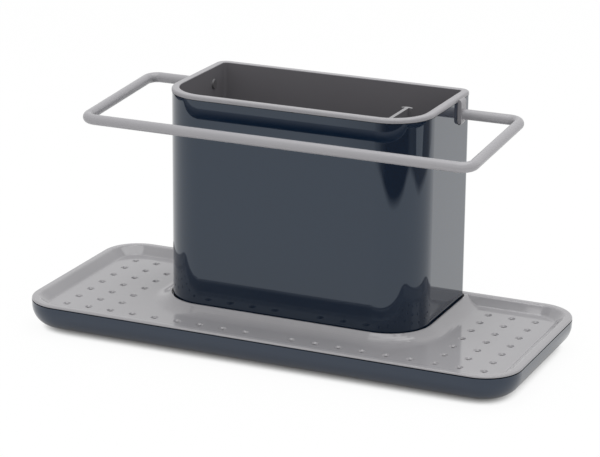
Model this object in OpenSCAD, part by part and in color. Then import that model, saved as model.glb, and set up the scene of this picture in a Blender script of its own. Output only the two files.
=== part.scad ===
// Kitchen sink caddy: a drip tray on rubber feet, a perforated drain deck, and on the
// deck a container with a lift-out inner bin, a divider and a towel rail.
// Millimetres, +Z up, the front faces -Y. The origin is on the floor, under the
// middle of the tray.

/* [Drip tray] */
// Length of the tray, left to right
tray_l = 310; // [296:1:340]
// Depth of the tray, front to back
tray_w = 132.5; // [130:0.5:150]
// Height of the tray wall, without its feet
tray_h = 15.7; // [15:0.1:24]
// Corner radius of the tray and the deck, seen from above
tray_r = 23; // [18:1:28]
// Radius between the tray's wall and its underside
tray_edge_r = 13; // [8:0.5:14.5]
// Thickness of the tray's wall and floor
tray_t = 2; // [1.8:0.1:2.4]
// Diameter of the posts that carry the deck
post_d = 7; // [5:0.5:10]

/* [Rubber feet] */
// Diameter of a foot
foot_d = 14; // [10:1:18]
// How far a foot stands out below the tray
foot_h = 1.8; // [1:0.1:3]
// How far a foot is let into the tray
foot_sink = 0.6; // [0.4:0.1:1]
// Distance of a foot's middle from the end of the tray
foot_inset = 30; // [26:1:50]

/* [Drain deck] */
// Height of the deck's lip above the tray's wall
lip_h = 1.8; // [1.2:0.1:3]
// Width of the flat lip
lip_w = 3.5; // [3:0.1:5]
// Width of the slope from the lip down to the dish floor
slope_w = 8; // [5:0.5:10]
// Radius of the hollow at the slope's foot and of the round at its top
slope_r = 3; // [1:0.2:4]
// Depth of the dish below the lip
dish_d = 4.8; // [4.7:0.1:5.4]
// Thickness of the dish floor
deck_t = 2; // [1.6:0.1:2.4]
// Height of the plinth under the container, above the dish floor
plinth_h = 4.6; // [3:0.1:4.7]
// How far the plinth's flare runs out onto the dish floor
flare_w = 11; // [8:0.5:12]
// Depth of the pocket in the plinth that holds the container
pocket_d = 2.8; // [2:0.1:3.2]
// Gap between the container and its pocket, all round
seat_fit = 1.1; // [0.4:0.1:1.2]
// Dark shadow line between the deck's lip and the tray
shadow_gap = 0.7; // [0.2:0.1:0.9]

/* [Drain holes] */
// Distance between neighbouring holes, both ways
hole_pitch = 14.8; // [14.4:0.1:15]
// Diameter of a hole, below its chamfer
hole_d = 2.8; // [2.4:0.1:3.6]
// Chamfer round a hole's upper edge
hole_chamfer = 0.95; // [0.5:0.05:1.1]
// Distance of the front row of holes from the tray's front
hole_front = 21.2; // [19:0.1:24]

/* [Container] */
// Length of the container, left to right
cont_l = 164.4; // [158:0.4:168]
// Depth of the container, front to back
cont_w = 86.6; // [80:0.2:88]
// Height of the container, from its base to its top edge
cont_h = 127.9; // [110:0.1:150]
// Radius of the container's two front corners
cont_rf = 26; // [20:0.5:28]
// Radius of the container's two back corners
cont_rb = 6.5; // [5:0.5:8]
// Thickness of the container's wall and floor
cont_t = 2.2; // [1.8:0.1:2.6]
// Distance from the tray's back edge to the container's back
cont_back = 3.7; // [3.7:0.1:8]

/* [Inner bin] */
// Thickness of the bin's wall and floor
bin_t = 1.8; // [1.5:0.1:2.2]
// Gap between the bin and the container, all round
bin_fit = 0.4; // [0.3:0.1:0.6]
// Height of the bin's rim above the container's edge
rim_h = 2.6; // [2.6:0.1:5]
// How far the rim stands out past the container's wall
rim_over = 0.2; // [0.1:0.1:1.2]
// Height of the rim's light edge above the bin's dark wall, inside
rim_cap = 0.5; // [0.5:0.1:1]
// Dark shadow line between the rim and the container
rim_gap = 0.4; // [0.2:0.1:0.6]
// Gap under the bin's floor
bin_lift = 1.6; // [1:0.1:3]
// Half the width of the ears that hold the rail
ear_r = 3.9; // [3.9:0.1:5]
// How far an ear stands out from the container's wall
ear_out = 2.2; // [1.6:0.1:3]
// Distance of the ear's round end below the rail, middle to middle
ear_low = 2.6; // [1:0.1:4]

/* [Towel rail] */
// Diameter of the rail
rail_d = 6.2; // [5:0.1:6.2]
// Wall of the rail's tube
rail_t = 0.8; // [0.6:0.1:1]
// Length of the rail, outside to outside
rail_l = 247.2; // [220:0.2:290]
// Distance from the rail's pivot line at the back to its front bar
rail_reach = 86.6; // [84:0.2:104]
// Radius of the rail's bends, on the tube's middle line
rail_bend = 7; // [5:0.2:14]
// Drop of the rail towards the front, in degrees
rail_drop = 3.8; // [0:0.1:5]
// Distance from the container's back to the rail's ends
rail_back = 19.2; // [15:0.1:22]
// Height of the rail's ends below the top of the rim
rail_below = 10.4; // [9.8:0.1:16]

/* [Divider] */
// Distance of the divider's middle from the bin's right end wall
divider_in = 19.3; // [17.3:0.5:60]
// How far the divider reaches back from the bin's front wall
divider_w = 40.3; // [25:0.1:55]
// Thickness of the divider
divider_t = 2.2; // [1.8:0.1:2.6]
// Width of the flange on the divider's free edge
divider_head = 7; // [5:0.1:10]
// How far the divider ends below the top of the rim
divider_low = 3.6; // [2.5:0.1:8]
// Gap between the divider and its channel
divider_fit = 0.3; // [0.2:0.1:0.5]

/* [Hidden] */
$fn = 64;

eps = 0.01;            // overlap of pieces that grow into one another
over = 1;              // how far a cutter runs past the face it cuts
deck_fit = 0.4;        // gap between the deck's skirt and the tray's wall
ledge_in = 1;          // depth of the two shadow lines, at the tray and at the rim
slope_steps = 4;       // straight runs that make up each curve of the slope
flare_land = 2;        // flat ledge of the plinth round the container
flare_steps = 8;       // straight runs that make up the flare
key_w = 1.4;           // rib under the rail's end that stops it from turning
key_h = 0.7;
key_fit = 0.05;
bore_fit = 0.05;       // gap round the rail in its ear, on the radius
cap_head = 1;          // the rail cap's head shows this far inside the bin
cap_l = 8;             // length of the rail cap's spigot
rim_edge_r = 1.2;      // round outer edge of the rim
rim_in_r = 0.4;        // round inner edge of the rim
channel_t = 1.2;       // wall of the divider's channel
channel_in = 1.5;      // thickness of the divider's foot in the channel
foot_w = 6;            // width of the divider's foot in the channel
channel_low = 2;       // the channel ends this far below the divider's top
divider_tip = 0.6;     // thickness of the flange at its two edges
divider_gap = 0.5;     // gap between the divider's lower edge and the bin's floor
tongue_t = 1.2;        // tongue on the bin's wall that the rim caps
tongue_fit = 0.05;
ear_fit = 0.1;         // gap between an ear and the bin's wall behind it

tray_z0 = foot_h;
tray_z1 = tray_z0 + tray_h;
lip_z = tray_z1 + lip_h;
dish_z = lip_z - dish_d;
deck_z0 = dish_z - deck_t;
plinth_z = dish_z + plinth_h;
pocket_z = plinth_z - pocket_d;

cont_y = tray_w/2 - cont_back - cont_w/2;
cont_z1 = pocket_z + cont_h;
bin_off = cont_t + bin_fit;
bin_z0 = pocket_z + cont_t + bin_lift;
bin_floor = bin_z0 + bin_t;
rim_z = cont_z1 + rim_h;
rim_in = bin_off + bin_t;
bin_front = cont_y - cont_w/2 + rim_in;

rail_y = cont_y + cont_w/2 - rail_back;
rail_z = rim_z - rail_below;
ear_z1 = rim_z - rim_edge_r;
rail_x = rail_l/2 - rail_d/2;
inner_x = cont_l/2 - rim_in;

divider_x = inner_x - divider_in;
divider_z = rim_z - divider_low;
foot_past = max(0, divider_x + foot_w/2 - cont_l/2 + cont_rf);
foot_sag = cont_rf - rim_in - sqrt(pow(cont_rf - rim_in, 2) - pow(foot_past, 2));
divider_y0 = bin_front + foot_sag + divider_fit;
divider_y1 = bin_front + divider_w;

hole_edge = hole_d/2 + hole_chamfer + 1;   // least distance of a hole's middle from a slope
hole_y0 = -tray_w/2 + hole_front;
flat_x = tray_l/2 - lip_w - slope_w - hole_edge;
flat_y = tray_w/2 - lip_w - slope_w - hole_edge;
first_end = ceil((cont_l/2 + flare_land + flare_w + hole_edge)/hole_pitch);
end_cols = [first_end : floor(flat_x/hole_pitch)];
end_rows = [0 : floor((flat_y - hole_y0)/hole_pitch)];
front_cols = [1 : first_end - 1];
base_cols = [-4:4];
base_rows = [3:6];
post_cols = [1 - first_end, 0, first_end - 1];
post_rows = [1, 5];

// Rectangle with round corners; the front pair and the back pair have their own radius
module plan(l, w, rf, rb) {
    translate([-l/2, -w/2 + rf]) square([l, w - rf - rb]);
    translate([-l/2 + rf, -w/2]) square([l - 2*rf, w/2]);
    translate([-l/2 + rb, 0]) square([l - 2*rb, w/2]);
    for (s = [-1, 1]) {
        translate([s*(l/2 - rf), -w/2 + rf]) circle(rf);
        translate([s*(l/2 - rb), w/2 - rb]) circle(rb);
    }
}

// Sweeps a section round the outline of such a rectangle. In the section, x = 0 lies
// on the outline, +x points outward and +y is up.
module around(l, w, rf, rb) {
    for (s = [0, 1]) {
        translate([(2*s - 1)*(l/2 - rf), -w/2 + rf]) rotate(180 + 90*s)
            rotate_extrude(angle = 90) translate([rf, 0]) children();
        translate([(2*s - 1)*(l/2 - rb), w/2 - rb]) rotate(90 - 90*s)
            rotate_extrude(angle = 90) translate([rb, 0]) children();
    }
    translate([l/2, w/2 - rb]) rotate([90, 0, 0])
        linear_extrude(w - rf - rb) children();
    translate([-l/2, -w/2 + rf]) rotate([90, 0, 180])
        linear_extrude(w - rf - rb) children();
    translate([l/2 - rf, -w/2]) rotate([90, 0, -90])
        linear_extrude(l - 2*rf) children();
    translate([-l/2 + rb, w/2]) rotate([90, 0, 90])
        linear_extrude(l - 2*rb) children();
}

// Block with round plan corners of radius r and a round edge of radius e below
module pan(l, w, h, r, e) {
    translate([0, 0, e]) linear_extrude(h - e) plan(l, w, r, r);
    linear_extrude(e) plan(l - 2*e, w - 2*e, r - e, r - e);
    around(l, w, r, r) intersection() {
        translate([-e, e]) circle(e);
        translate([-e, 0]) square([e, e]);
    }
}

// Section of the hollow beside the dish's slope: a straight run that is hollowed at its
// foot and rounded at its top
module slope_section(slope, h) {
    r = min(slope_r, (slope*slope + h*h)/(4*h) - eps);
    d = 2*r - h;
    turn = atan2(slope, d) - acos(2*r/sqrt(slope*slope + d*d));
    steps = [0 : slope_steps];
    foot = [for (k = steps) let (a = turn*k/slope_steps)
        [r*sin(a) - slope, r - r*cos(a)]];
    top = [for (k = steps) let (a = turn*(1 - k/slope_steps))
        [-r*sin(a), h - r + r*cos(a)]];
    polygon(concat([[-slope - over, h + over], [-slope - over, 0]], foot, top,
        [[0, h + over]]));
}

// Hollow that widens from its floor to its top
module dish_hollow(l, w, h, r, slope) {
    linear_extrude(h + over) plan(l - 2*slope, w - 2*slope, r - slope, r - slope);
    around(l, w, r, r) slope_section(slope, h);
}

// Outline of the container, or of what lies a distance d outside it
module cont_plan(d) {
    plan(cont_l + 2*d, cont_w + 2*d, cont_rf + d, cont_rb + d);
}

module at_container() {
    translate([0, cont_y, 0]) children();
}

// Copies at the drain-hole grid: column i from the middle, row j from the front
module at_hole(i, j) {
    translate([i*hole_pitch, hole_y0 + j*hole_pitch, 0]) children();
}

// Drain hole with a chamfered upper edge at height z
module drain_hole(z, t) {
    translate([0, 0, z - t - over]) cylinder(d = hole_d, h = t + 2*over);
    translate([0, 0, z - hole_chamfer])
        cylinder(d1 = hole_d, d2 = hole_d + 4*hole_chamfer, h = 2*hole_chamfer);
}

// Drain holes under the container, through a floor of thickness t with its top at z
module base_holes(z, t) {
    for (i = base_cols, j = base_rows) at_hole(i, j) drain_hole(z, t);
}

// ---- Drip tray and its feet ----

// Outline of the tray, a distance d inside its outer face
module tray_plan(d) {
    plan(tray_l - 2*d, tray_w - 2*d, tray_r - d, tray_r - d);
}

module at_foot(sx, sy) {
    translate([sx*(tray_l/2 - foot_inset), sy*(tray_w/2 - foot_inset), 0]) children();
}

// The tongue on the tray's wall carries the deck and makes the shadow line
module drip_tray() color([0.10, 0.13, 0.18]) {
    difference() {
        translate([0, 0, tray_z0]) pan(tray_l, tray_w, tray_h, tray_r, tray_edge_r);
        translate([0, 0, tray_z0 + tray_t])
            pan(tray_l - 2*tray_t, tray_w - 2*tray_t, tray_h, tray_r - tray_t,
                tray_edge_r - tray_t);
        for (sx = [-1, 1], sy = [-1, 1]) at_foot(sx, sy)
            translate([0, 0, tray_z0 - over]) cylinder(d = foot_d, h = foot_sink + over);
    }
    translate([0, 0, tray_z1 - eps]) linear_extrude(shadow_gap + eps) difference() {
        tray_plan(ledge_in);
        tray_plan(tray_t);
    }
    for (i = post_cols, j = post_rows) at_post(i, j)
        translate([0, 0, tray_z0 + tray_t - eps])
            cylinder(d = post_d, h = deck_z0 - tray_z0 - tray_t + eps);
}

// Posts stand between the holes, so that they close none of them
module at_post(i, j) {
    at_hole(i + (i == 0 ? 0.5 : 0), j + 0.5) children();
}

module foot(sx, sy) color([0.12, 0.12, 0.12]) at_foot(sx, sy) {
    cylinder(d = foot_d, h = foot_h + foot_sink);
}

module foot_front_left() { foot(-1, -1); }
module foot_front_right() { foot(1, -1); }
module foot_back_left() { foot(-1, 1); }
module foot_back_right() { foot(1, 1); }

// ---- Drain deck ----

// Outer edge of the lip: square below, round above
module lip_section() {
    r = lip_h - shadow_gap;
    intersection() {
        translate([-r, 0]) circle(r);
        translate([-r, 0]) square([r, r]);
    }
    translate([-r - over, 0]) square([over + eps, r]);
}

module deck_blank() {
    r = lip_h - shadow_gap;
    translate([0, 0, tray_z1 + shadow_gap]) {
        linear_extrude(r) tray_plan(r);
        around(tray_l, tray_w, tray_r, tray_r) lip_section();
    }
    translate([0, 0, deck_z0]) linear_extrude(tray_z1 + shadow_gap - deck_z0 + eps)
        tray_plan(tray_t + deck_fit);
}

// Raised seat of the container, with a hollow flare down to the dish floor. It runs
// straight on to the back, where the dish's slope cuts it off.
module plinth() {
    flare_r = (flare_w*flare_w + plinth_h*plinth_h)/(2*plinth_h);
    flare_turn = acos(1 - plinth_h/flare_r);
    l = cont_l + 2*flare_land;
    w = cont_w + 2*flare_land + tray_w/2;
    rf = cont_rf + flare_land;
    rb = cont_rb + flare_land;
    at_container() translate([0, tray_w/4, dish_z - over]) {
        linear_extrude(plinth_h + over) plan(l, w, rf, rb);
        around(l, w, rf, rb) translate([0, over])
            polygon(concat([[flare_w, -over], [-over, -over], [-over, plinth_h]],
                [for (k = [0 : flare_steps]) let (a = flare_turn*(1 - k/flare_steps))
                    [flare_w - flare_r*sin(a), flare_r - flare_r*cos(a)]]));
    }
}

module drain_deck() color([0.66, 0.65, 0.67]) difference() {
    deck_blank();
    difference() {
        translate([0, 0, dish_z])
            dish_hollow(tray_l - 2*lip_w, tray_w - 2*lip_w, dish_d, tray_r - lip_w, slope_w);
        plinth();
    }
    at_container() translate([0, 0, pocket_z]) linear_extrude(dish_d + over)
        cont_plan(seat_fit);
    for (s = [-1, 1], i = end_cols, j = end_rows) at_hole(s*i, j)
        drain_hole(dish_z, deck_t);
    for (s = [-1, 1], i = front_cols) at_hole(s*i, 0) drain_hole(dish_z, deck_t);
    base_holes(pocket_z, pocket_z - deck_z0);
}

// ---- Container ----

// Shape of an ear seen from the side, grown by d: a round lug below a straight neck
module ear_side(d) {
    translate([rail_y, rail_z - ear_low]) circle(ear_r + d);
    translate([rail_y - ear_r - d, rail_z - ear_low])
        square([2*(ear_r + d), ear_z1 - rail_z + ear_low]);
}

module container() color([0.09, 0.11, 0.15]) difference() {
    at_container() translate([0, 0, pocket_z]) linear_extrude(cont_h) cont_plan(0);
    at_container() translate([0, 0, pocket_z + cont_t]) linear_extrude(cont_h)
        cont_plan(-cont_t);
    base_holes(pocket_z + cont_t, cont_t);
    rotate([90, 0, 90]) translate([0, 0, -cont_l]) linear_extrude(2*cont_l)
        ear_side(bin_fit);
}

// ---- Rim frame with its ears ----

// Rim: an L that stands on the container's edge and caps the bin's tongue. It has a
// shadow line below, outside, and is round on top.
module rim_section() {
    x0 = tongue_t + tongue_fit;
    w = rim_in + rim_over;
    e = rim_edge_r;
    translate([-rim_in, 0]) {
        translate([x0, 0]) square([rim_in - ledge_in - x0, rim_h - e]);
        translate([x0, rim_gap]) square([w - x0, rim_h - rim_gap - e]);
        translate([x0, rim_h - e - eps]) square([w - e - x0, e + eps]);
        translate([w - e, rim_h - e]) circle(e);
        translate([0, rim_h - rim_cap]) square([x0 + eps, rim_cap - rim_in_r]);
        translate([rim_in_r, rim_h - rim_in_r - eps]) square([x0 - rim_in_r + eps, rim_in_r + eps]);
        intersection() {
            translate([rim_in_r, rim_h - rim_in_r]) circle(rim_in_r);
            translate([0, rim_h - rim_in_r - eps]) square(rim_in_r + eps);
        }
    }
}

// Section of an ear from the front: x = 0 is the container's outer face. Its outer side
// curves back to the wall below and to the rim above.
module ear_section() {
    low = rail_z - ear_low - ear_r;
    back = bin_off - ear_fit;
    top_r = ear_out - rim_over;
    translate([-back, low]) square([back + eps, ear_z1 - low]);
    translate([0, low + ear_out]) square([ear_out, ear_z1 - top_r - low - ear_out]);
    translate([0, ear_z1 - top_r - eps]) square([ear_out - top_r, top_r + eps]);
    translate([ear_out - top_r, ear_z1 - top_r]) circle(top_r);
    intersection() {
        translate([0, low + ear_out]) circle(ear_out);
        translate([0, low]) square([ear_out, ear_out + eps]);
    }
}

// One ear: a lug through the notch in the container's wall, joined to the rim
module ear() {
    translate([cont_l/2, 0, 0]) intersection() {
        translate([-bin_off, 0, 0]) rotate([90, 0, 90])
            linear_extrude(bin_off + ear_out + over) ear_side(0);
        translate([0, rail_y + ear_r + over, 0]) rotate([90, 0, 0])
            linear_extrude(2*(ear_r + over)) ear_section();
    }
}

module rail_frame() {
    translate([0, rail_y, rail_z]) rotate([rail_drop, 0, 0]) children();
}

module mirrored(s) {
    mirror([s < 0 ? 1 : 0, 0, 0]) children();
}

// Holes and keyways for the rail's ends, through the ears and the bin's wall
module rail_bores() {
    rail_frame() for (s = [-1, 1]) mirrored(s) translate([inner_x - over, 0, 0]) {
        rotate([0, 90, 0])
            cylinder(d = rail_d + 2*bore_fit, h = rim_in + ear_out + 2*over);
        translate([rim_in, -key_w/2 - key_fit, -rail_d/2 - key_h - key_fit])
            cube([ear_out + 3*over, key_w + 2*key_fit, rail_d/2]);
    }
}

module rim_frame() color([0.62, 0.62, 0.64]) difference() {
    union() {
        at_container() translate([0, 0, cont_z1])
            around(cont_l, cont_w, cont_rf, cont_rb) rim_section();
        for (s = [-1, 1]) mirrored(s) ear();
    }
    rail_bores();
}

// ---- Inner bin ----

// Channel on the front wall that holds the divider's foot
module divider_channel() {
    half = foot_w/2 + divider_fit;
    depth = foot_sag + channel_in + 2*divider_fit;
    slot = divider_t/2 + divider_fit;
    translate([0, 0, bin_floor - eps])
        linear_extrude(divider_z - bin_floor - channel_low) difference() {
            intersection() {
                at_container() cont_plan(-bin_off);
                translate([divider_x - half - channel_t, bin_front - bin_t/2])
                    square([2*(half + channel_t), depth + channel_t + bin_t/2]);
            }
            translate([divider_x - half, bin_front]) square([2*half, depth]);
            translate([divider_x - slot, bin_front]) square([2*slot, depth + 2*channel_t]);
        }
}

module inner_bin() color([0.32, 0.32, 0.33]) difference() {
    union() {
        at_container() difference() {
            translate([0, 0, bin_z0]) linear_extrude(cont_z1 - bin_z0)
                cont_plan(-bin_off);
            translate([0, 0, bin_floor]) linear_extrude(cont_h) cont_plan(-rim_in);
        }
        at_container() translate([0, 0, cont_z1 - eps])
            linear_extrude(rim_h - rim_cap - tongue_fit + eps) difference() {
                cont_plan(-rim_in + tongue_t);
                cont_plan(-rim_in);
            }
        divider_channel();
    }
    base_holes(bin_floor, bin_t);
    rail_bores();
}

// ---- Towel rail and its caps ----

// Half of the rail, of radius r, from its middle to its end inside the bin's wall
module half_rail(r) {
    run = rail_x - rail_bend;
    arm = rail_reach - 2*rail_bend;
    translate([0, -rail_reach, 0]) rotate([0, 90, 0]) cylinder(r = r, h = run);
    translate([run, -rail_reach + rail_bend, 0]) rotate(-90)
        rotate_extrude(angle = 90) translate([rail_bend, 0]) circle(r);
    translate([rail_x, -rail_bend, 0]) rotate([90, 0, 0]) cylinder(r = r, h = arm);
    translate([run, -rail_bend, 0])
        rotate_extrude(angle = 90) translate([rail_bend, 0]) circle(r);
    translate([inner_x, 0, 0]) rotate([0, 90, 0]) cylinder(r = r, h = run - inner_x);
}

module towel_rail() color([0.60, 0.60, 0.61]) rail_frame() difference() {
    for (s = [-1, 1]) mirrored(s) {
        half_rail(rail_d/2);
        translate([cont_l/2 - cont_t, -key_w/2, -rail_d/2 - key_h])
            cube([cont_t + ear_out, key_w, rail_d/2]);
    }
    for (s = [-1, 1]) mirrored(s) {
        half_rail(rail_d/2 - rail_t);
        translate([inner_x - over, 0, 0]) rotate([0, 90, 0])
            cylinder(r = rail_d/2 - rail_t, h = 2*over);
    }
}

module rail_cap(s) color([0.60, 0.60, 0.61]) rail_frame() mirrored(s) {
    translate([inner_x - eps, 0, 0]) rotate([0, 90, 0])
        cylinder(d = rail_d - 2*rail_t, h = cap_l);
    translate([inner_x - cap_head, 0, 0]) rotate([0, 90, 0])
        cylinder(d1 = rail_d - 1, d2 = rail_d, h = cap_head);
}

module rail_cap_left() { rail_cap(-1); }
module rail_cap_right() { rail_cap(1); }

// ---- Divider ----

// Flange seen from above: flat on the divider's side and crowned behind
module divider_flange() {
    crown = divider_t - divider_tip;
    r = (pow(divider_head/2, 2) + crown*crown)/(2*crown);
    intersection() {
        translate([0, -r]) circle(r);
        translate([-divider_head/2, -divider_t]) square([divider_head, divider_t]);
    }
}

module divider() color([0.62, 0.62, 0.64])
    translate([divider_x, 0, bin_floor + divider_gap])
        linear_extrude(divider_z - bin_floor - divider_gap) {
            translate([-divider_t/2, divider_y0])
                square([divider_t, divider_y1 - divider_y0]);
            translate([0, divider_y1]) divider_flange();
            translate([-foot_w/2, divider_y0]) square([foot_w, channel_in]);
        }

drip_tray();
foot_front_left();
foot_front_right();
foot_back_left();
foot_back_right();
drain_deck();
container();
inner_bin();
rim_frame();
towel_rail();
rail_cap_left();
rail_cap_right();
divider();
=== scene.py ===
"""Looks of the kitchen sink caddy: camera, materials, and a white stage with soft light.

Metres, in the frame of the CAD: +Z up, the front faces -Y. Headings are in degrees from
the front to the right.
"""
import math

import bpy
from mathutils import Matrix, Vector

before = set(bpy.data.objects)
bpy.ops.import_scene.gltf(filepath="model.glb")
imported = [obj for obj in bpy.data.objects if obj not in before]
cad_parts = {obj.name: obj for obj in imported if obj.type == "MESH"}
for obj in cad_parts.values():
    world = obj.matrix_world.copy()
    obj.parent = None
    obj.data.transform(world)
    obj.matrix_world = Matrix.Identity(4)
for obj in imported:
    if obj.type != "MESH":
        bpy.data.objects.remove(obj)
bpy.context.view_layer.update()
scene = bpy.context.scene


# ---- Camera: where the photograph was taken from ----

CAMERA_PLACE = (0.56563, -1.27789, 0.5148)
CAMERA_HEADING = 23.886   # degrees; the camera stands to the right of the front
CAMERA_DOWN = 17.766      # degrees that it looks down
CAMERA_ROLL = 0.524       # degrees
CAMERA_LENS = 149.04      # mm
CAMERA_SENSOR = 36        # mm, across
CAMERA_FAR = 20           # farthest thing that it shows


def add_camera():
    heading, down, roll = (math.radians(v) for v in (CAMERA_HEADING, CAMERA_DOWN,
                                                     CAMERA_ROLL))
    forward = Vector((-math.sin(heading) * math.cos(down),
                      math.cos(heading) * math.cos(down), -math.sin(down)))
    level = Vector((math.cos(heading), math.sin(heading), 0))
    upright = level.cross(forward)
    right = math.cos(roll) * level + math.sin(roll) * upright
    up = -math.sin(roll) * level + math.cos(roll) * upright
    camera = bpy.data.objects.new("camera", bpy.data.cameras.new("camera"))
    scene.collection.objects.link(camera)
    camera.data.sensor_fit = "HORIZONTAL"
    camera.data.sensor_width = CAMERA_SENSOR
    camera.data.lens = CAMERA_LENS
    camera.data.clip_end = CAMERA_FAR
    turn = Matrix((right, up, -forward)).transposed().to_4x4()
    camera.matrix_world = Matrix.Translation(CAMERA_PLACE) @ turn
    scene.camera = camera


# ---- Materials ----

# Noise textures: cycles per metre, and detail
PATCHES = (28, 4)         # slow change of the colour
SMUDGES = (90, 5)         # change of the roughness
RIPPLES = (45, 0)         # slow waves that only gloss shows
GRAIN_DETAIL = 2
COLOUR_VARY = 0.04        # share by which the colour changes, either way
ROUGH_VARY = 0.12         # share by which the roughness changes, either way
COAT_ROUGHNESS = 0.03
WHITE = (1, 1, 1)


def new_material(name):
    """A new material, its nodes, its links and its Principled shader."""
    material = bpy.data.materials.new(name)
    material.use_nodes = True
    nodes = material.node_tree.nodes
    return material, nodes, material.node_tree.links, nodes["Principled BSDF"]


def value_range(nodes, low, high):
    """Map Range node that turns 0 to 1 into low to high."""
    node = nodes.new("ShaderNodeMapRange")
    node.inputs["To Min"].default_value = low
    node.inputs["To Max"].default_value = high
    return node


def noise(nodes, links, scale, detail):
    """Noise in the object's own frame."""
    place = nodes.new("ShaderNodeTexCoord")
    texture = nodes.new("ShaderNodeTexNoise")
    texture.inputs["Scale"].default_value = scale
    texture.inputs["Detail"].default_value = detail
    links.new(place.outputs["Object"], texture.inputs["Vector"])
    return texture.outputs["Fac"]


def bump(nodes, links, height, depth):
    """Bump of a height texture, depth metres from its lowest to its highest."""
    node = nodes.new("ShaderNodeBump")
    node.inputs["Strength"].default_value = 1
    node.inputs["Distance"].default_value = depth
    links.new(height, node.inputs["Height"])
    return node


def moulded(name, colour, roughness, grain, depth, wave=0.0, coat=0.0, ior=1.5,
            sheen=WHITE):
    """Moulded plastic or a smooth coat: grain is the texture's fineness in cycles per
    metre, depth its height, wave the height of the ripples, and sheen the tint of what
    the surface reflects."""
    material, nodes, links, shader = new_material(name)
    shader.inputs["IOR"].default_value = ior
    shader.inputs["Coat Weight"].default_value = coat
    shader.inputs["Coat Roughness"].default_value = COAT_ROUGHNESS
    shader.inputs["Specular Tint"].default_value = (*sheen, 1)

    tint = nodes.new("ShaderNodeMix")
    tint.data_type = "RGBA"
    tint.inputs["A"].default_value = [c * (1 - COLOUR_VARY) for c in colour] + [1]
    tint.inputs["B"].default_value = [c * (1 + COLOUR_VARY) for c in colour] + [1]
    links.new(noise(nodes, links, *PATCHES), tint.inputs["Factor"])
    links.new(tint.outputs["Result"], shader.inputs["Base Color"])

    spread = value_range(nodes, roughness * (1 - ROUGH_VARY),
                         roughness * (1 + ROUGH_VARY))
    links.new(noise(nodes, links, *SMUDGES), spread.inputs["Value"])
    links.new(spread.outputs["Result"], shader.inputs["Roughness"])

    fine = bump(nodes, links, noise(nodes, links, grain, GRAIN_DETAIL), depth)
    links.new(fine.outputs["Normal"], shader.inputs["Normal"])
    if wave:
        ripple = bump(nodes, links, noise(nodes, links, *RIPPLES), wave)
        links.new(ripple.outputs["Normal"], fine.inputs["Normal"])
    return material


def dress():
    # After name and colour come roughness, grain and depth
    navy = moulded("navy_gloss", (0.002, 0.009, 0.024), 0.04, 4000, 2e-7, wave=1.2e-5,
                   coat=0.33, ior=1.6, sheen=(0.75, 0.87, 1.0))
    tray = moulded("navy_tray", (0.003, 0.010, 0.026), 0.12, 4000, 1e-6, wave=1.5e-5,
                   coat=0.3, ior=1.6, sheen=(0.77, 0.87, 1.0))
    deck = moulded("deck_grey", (0.332, 0.326, 0.339), 0.09, 3500, 8e-7, wave=1e-5)
    dark = moulded("bin_grey", (0.175, 0.170, 0.182), 0.22, 3500, 4e-6, wave=1e-5)
    divider = moulded("divider_grey", (0.19, 0.186, 0.198), 0.2, 3500, 4e-6)
    light = moulded("rim_grey", (0.29, 0.285, 0.30), 0.3, 3500, 5e-6)
    rail = moulded("rail_coat", (0.335, 0.33, 0.345), 0.32, 5000, 4e-6)
    cap = moulded("cap_grey", (0.11, 0.108, 0.114), 0.5, 3500, 5e-6)
    rubber = moulded("foot_rubber", (0.02, 0.02, 0.02), 0.75, 2200, 4e-5)
    looks = {"container": navy, "drip_tray": tray, "drain_deck": deck, "inner_bin": dark,
             "divider": divider, "rim_frame": light, "towel_rail": rail,
             "rail_cap_left": cap, "rail_cap_right": cap}
    for name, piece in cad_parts.items():
        material = looks.get(name, rubber)
        for slot in piece.material_slots:
            slot.material = material


# ---- Stage: a white floor, a dark card that paints dark reflections, and soft light ----

FLOOR_HALF = 6            # half the floor's side
FLOOR_COLOUR = (0.92, 0.92, 0.92, 1)
FLOOR_ROUGHNESS = 0.9
FLOOR_GLOW = 0.95         # share of the glow in what camera and gloss see of the floor
SHADE_REACH = 0.07        # how far from the floor a thing still darkens the glow
SHADE_SAMPLES = 16
SHADE_GAIN_GLOSS = 1.2    # gain of the shade below white, as the gloss sees it
SHADE_GAIN_CAMERA = 3.0   # and as the camera sees it
WORLD_LIGHT = 0.72        # light of the world on the object
WORLD_SEEN = 1.0          # what camera and gloss see of the world

# Dark card that paints dark reflections in the gloss, point by point: heading, heights
# of its lower and upper edge, and how solid it is there. It stands round the container's
# right front corner.
CARD = ((-26, 0.072, 0.110, 0), (-13.5, 0.056, 0.110, 0.45), (-2, 0.046, 0.110, 0.85),
        (8.5, 0.036, 0.110, 1), (18, 0.029, 0.110, 1), (25.7, 0.0273, 0.110, 1),
        (36, 0.028, 0.110, 1), (42, 0.030, 0.110, 1), (51.6, 0.036, 0.110, 1),
        (60, 0.046, 0.110, 1), (68, 0.052, 0.110, 0.8), (80, 0.044, 0.110, 0.85),
        (84, 0.039, 0.056, 0.85), (94, 0.0336, 0.054, 0.85), (102, 0.036, 0.056, 0.85),
        (108, 0.0387, 0.110, 0.85), (123, 0.048, 0.110, 0.85), (140, 0.066, 0.110, 0))
CARD_MIDDLE = (0.056, 0.002)
CARD_REACH = 0.25         # distance of the card from that point
CARD_SOFT = (-0.004, 0.005)   # the lower edge fades in between these, from its height
# colour of the painted dark reflection that the card shows in the gloss
PAINTED_REFLECTION_COLOUR = (0.14, 0.12, 0.10, 1)

LAMP_PLACE = (0.1, 0.0, 1.6)
LAMP_TARGET = (0, 0, 0.05)
LAMP_SIZE = (1.6, 1.2)
LAMP_POWER = 14           # watts


def math_node(nodes, operation):
    node = nodes.new("ShaderNodeMath")
    node.operation = operation
    return node


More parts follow.
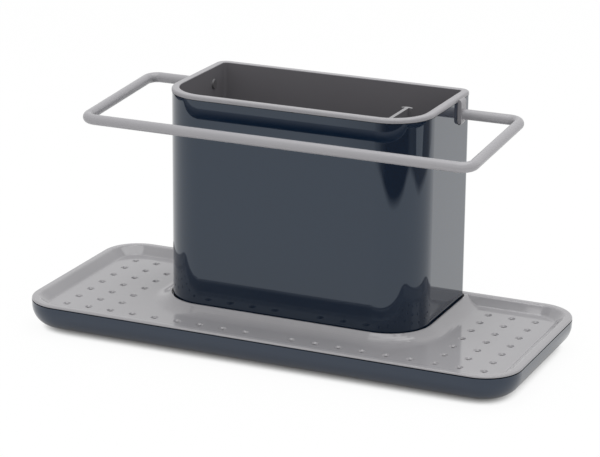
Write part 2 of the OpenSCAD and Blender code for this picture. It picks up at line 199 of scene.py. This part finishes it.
def ray_kind(nodes, links):
    """Two sockets: 1 for camera rays, and 1 for rays of the camera or the gloss."""
    path = nodes.new("ShaderNodeLightPath")
    either = math_node(nodes, "MAXIMUM")
    links.new(path.outputs["Is Camera Ray"], either.inputs[0])
    links.new(path.outputs["Is Glossy Ray"], either.inputs[1])
    return path.outputs["Is Camera Ray"], either.outputs[0]


def blend_shaders(nodes, links, factor, first, second):
    """The material's output is the first shader at 0 and the second at 1."""
    blend = nodes.new("ShaderNodeMixShader")
    links.new(factor, blend.inputs[0])
    links.new(first.outputs[0], blend.inputs[1])
    links.new(second.outputs[0], blend.inputs[2])
    links.new(blend.outputs[0], nodes["Material Output"].inputs[0])


def add_mesh(name, points, faces, material):
    mesh = bpy.data.meshes.new(name)
    mesh.from_pydata(points, [], faces)
    mesh.materials.append(material)
    thing = bpy.data.objects.new(name, mesh)
    scene.collection.objects.link(thing)
    return thing


def floor_material():
    """White floor. What the camera and reflections see of it is plain white that darkens
    where the object stands close over it."""
    material, nodes, links, shader = new_material("floor")
    shader.inputs["Base Color"].default_value = FLOOR_COLOUR
    shader.inputs["Roughness"].default_value = FLOOR_ROUGHNESS
    shader.inputs["Specular IOR Level"].default_value = 0
    to_camera, to_either = ray_kind(nodes, links)

    near = nodes.new("ShaderNodeAmbientOcclusion")
    near.samples = SHADE_SAMPLES
    near.inputs["Distance"].default_value = SHADE_REACH
    gain = value_range(nodes, SHADE_GAIN_GLOSS, SHADE_GAIN_CAMERA)
    links.new(to_camera, gain.inputs["Value"])
    shade = math_node(nodes, "MULTIPLY")
    shade.use_clamp = True
    links.new(near.outputs["AO"], shade.inputs[0])
    links.new(gain.outputs["Result"], shade.inputs[1])
    glow = nodes.new("ShaderNodeEmission")
    links.new(shade.outputs[0], glow.inputs["Strength"])

    share = math_node(nodes, "MULTIPLY")
    share.inputs[1].default_value = FLOOR_GLOW
    links.new(to_either, share.inputs[0])
    blend_shaders(nodes, links, share.outputs[0], shader, glow)
    return material


def add_floor():
    corners = [(x * FLOOR_HALF, y * FLOOR_HALF, 0)
               for x, y in ((-1, -1), (1, -1), (1, 1), (-1, 1))]
    floor = add_mesh("floor", corners, [(0, 1, 2, 3)], floor_material())


def add_world():
    world = bpy.data.worlds.new("studio")
    scene.world = world
    world.use_nodes = True
    nodes, links = world.node_tree.nodes, world.node_tree.links
    level = value_range(nodes, WORLD_LIGHT, WORLD_SEEN)
    links.new(ray_kind(nodes, links)[1], level.inputs["Value"])
    links.new(level.outputs["Result"], nodes["Background"].inputs["Strength"])
    nodes["Background"].inputs["Color"].default_value = (*WHITE, 1)


def painted_reflection_material():
    """Dark and even glow that the gloss shows as a painted dark reflection; it is clear
    where the mesh's fade is 0.
    """
    material, nodes, links, _ = new_material("painted_reflection_card")
    glow = nodes.new("ShaderNodeEmission")
    glow.inputs["Color"].default_value = PAINTED_REFLECTION_COLOUR
    fade = nodes.new("ShaderNodeAttribute")
    fade.attribute_name = "fade"
    clear = nodes.new("ShaderNodeBsdfTransparent")
    blend_shaders(nodes, links, fade.outputs["Fac"], clear, glow)
    return material


def add_painted_reflection_card():
    """Low dark card in front of the right corner and beside it, with soft edges, that
    paints dark reflections. It is seen only in the gloss, as the dark room was in the
    photograph."""
    points, fades = [], []
    for heading, low, high, solid in CARD:
        turn = math.radians(heading)
        x = CARD_MIDDLE[0] + CARD_REACH * math.sin(turn)
        y = CARD_MIDDLE[1] - CARD_REACH * math.cos(turn)
        points += [(x, y, z) for z in (low + CARD_SOFT[0], low + CARD_SOFT[1], high)]
        fades += [0, solid, solid]
    faces = [(k, k + 3, k + 4, k + 1)
             for column in range(len(CARD) - 1) for k in (3 * column, 3 * column + 1)]
    painted_reflection_card = add_mesh("painted_reflection_card", points, faces, painted_reflection_material())
    fade = painted_reflection_card.data.color_attributes.new("fade", "FLOAT_COLOR", "POINT")
    for point, value in zip(fade.data, fades):
        point.color = (value, value, value, 1)
    # the card only paints dark reflections: the camera, diffuse light and shadows pass
    # through it
    painted_reflection_card.visible_camera = False
    painted_reflection_card.visible_diffuse = False
    painted_reflection_card.visible_shadow = False


def add_lamp():
    data = bpy.data.lights.new("top_light", "AREA")
    data.shape = "RECTANGLE"
    data.size, data.size_y = LAMP_SIZE
    data.energy = LAMP_POWER
    lamp = bpy.data.objects.new("top_light", data)
    scene.collection.objects.link(lamp)
    lamp.location = LAMP_PLACE
    aim = Vector(LAMP_TARGET) - Vector(LAMP_PLACE)
    lamp.rotation_euler = aim.to_track_quat("-Z", "Y").to_euler()


add_camera()
dress()
add_floor()
add_world()
add_painted_reflection_card()
add_lamp()
scene.view_settings.view_transform = "Standard"
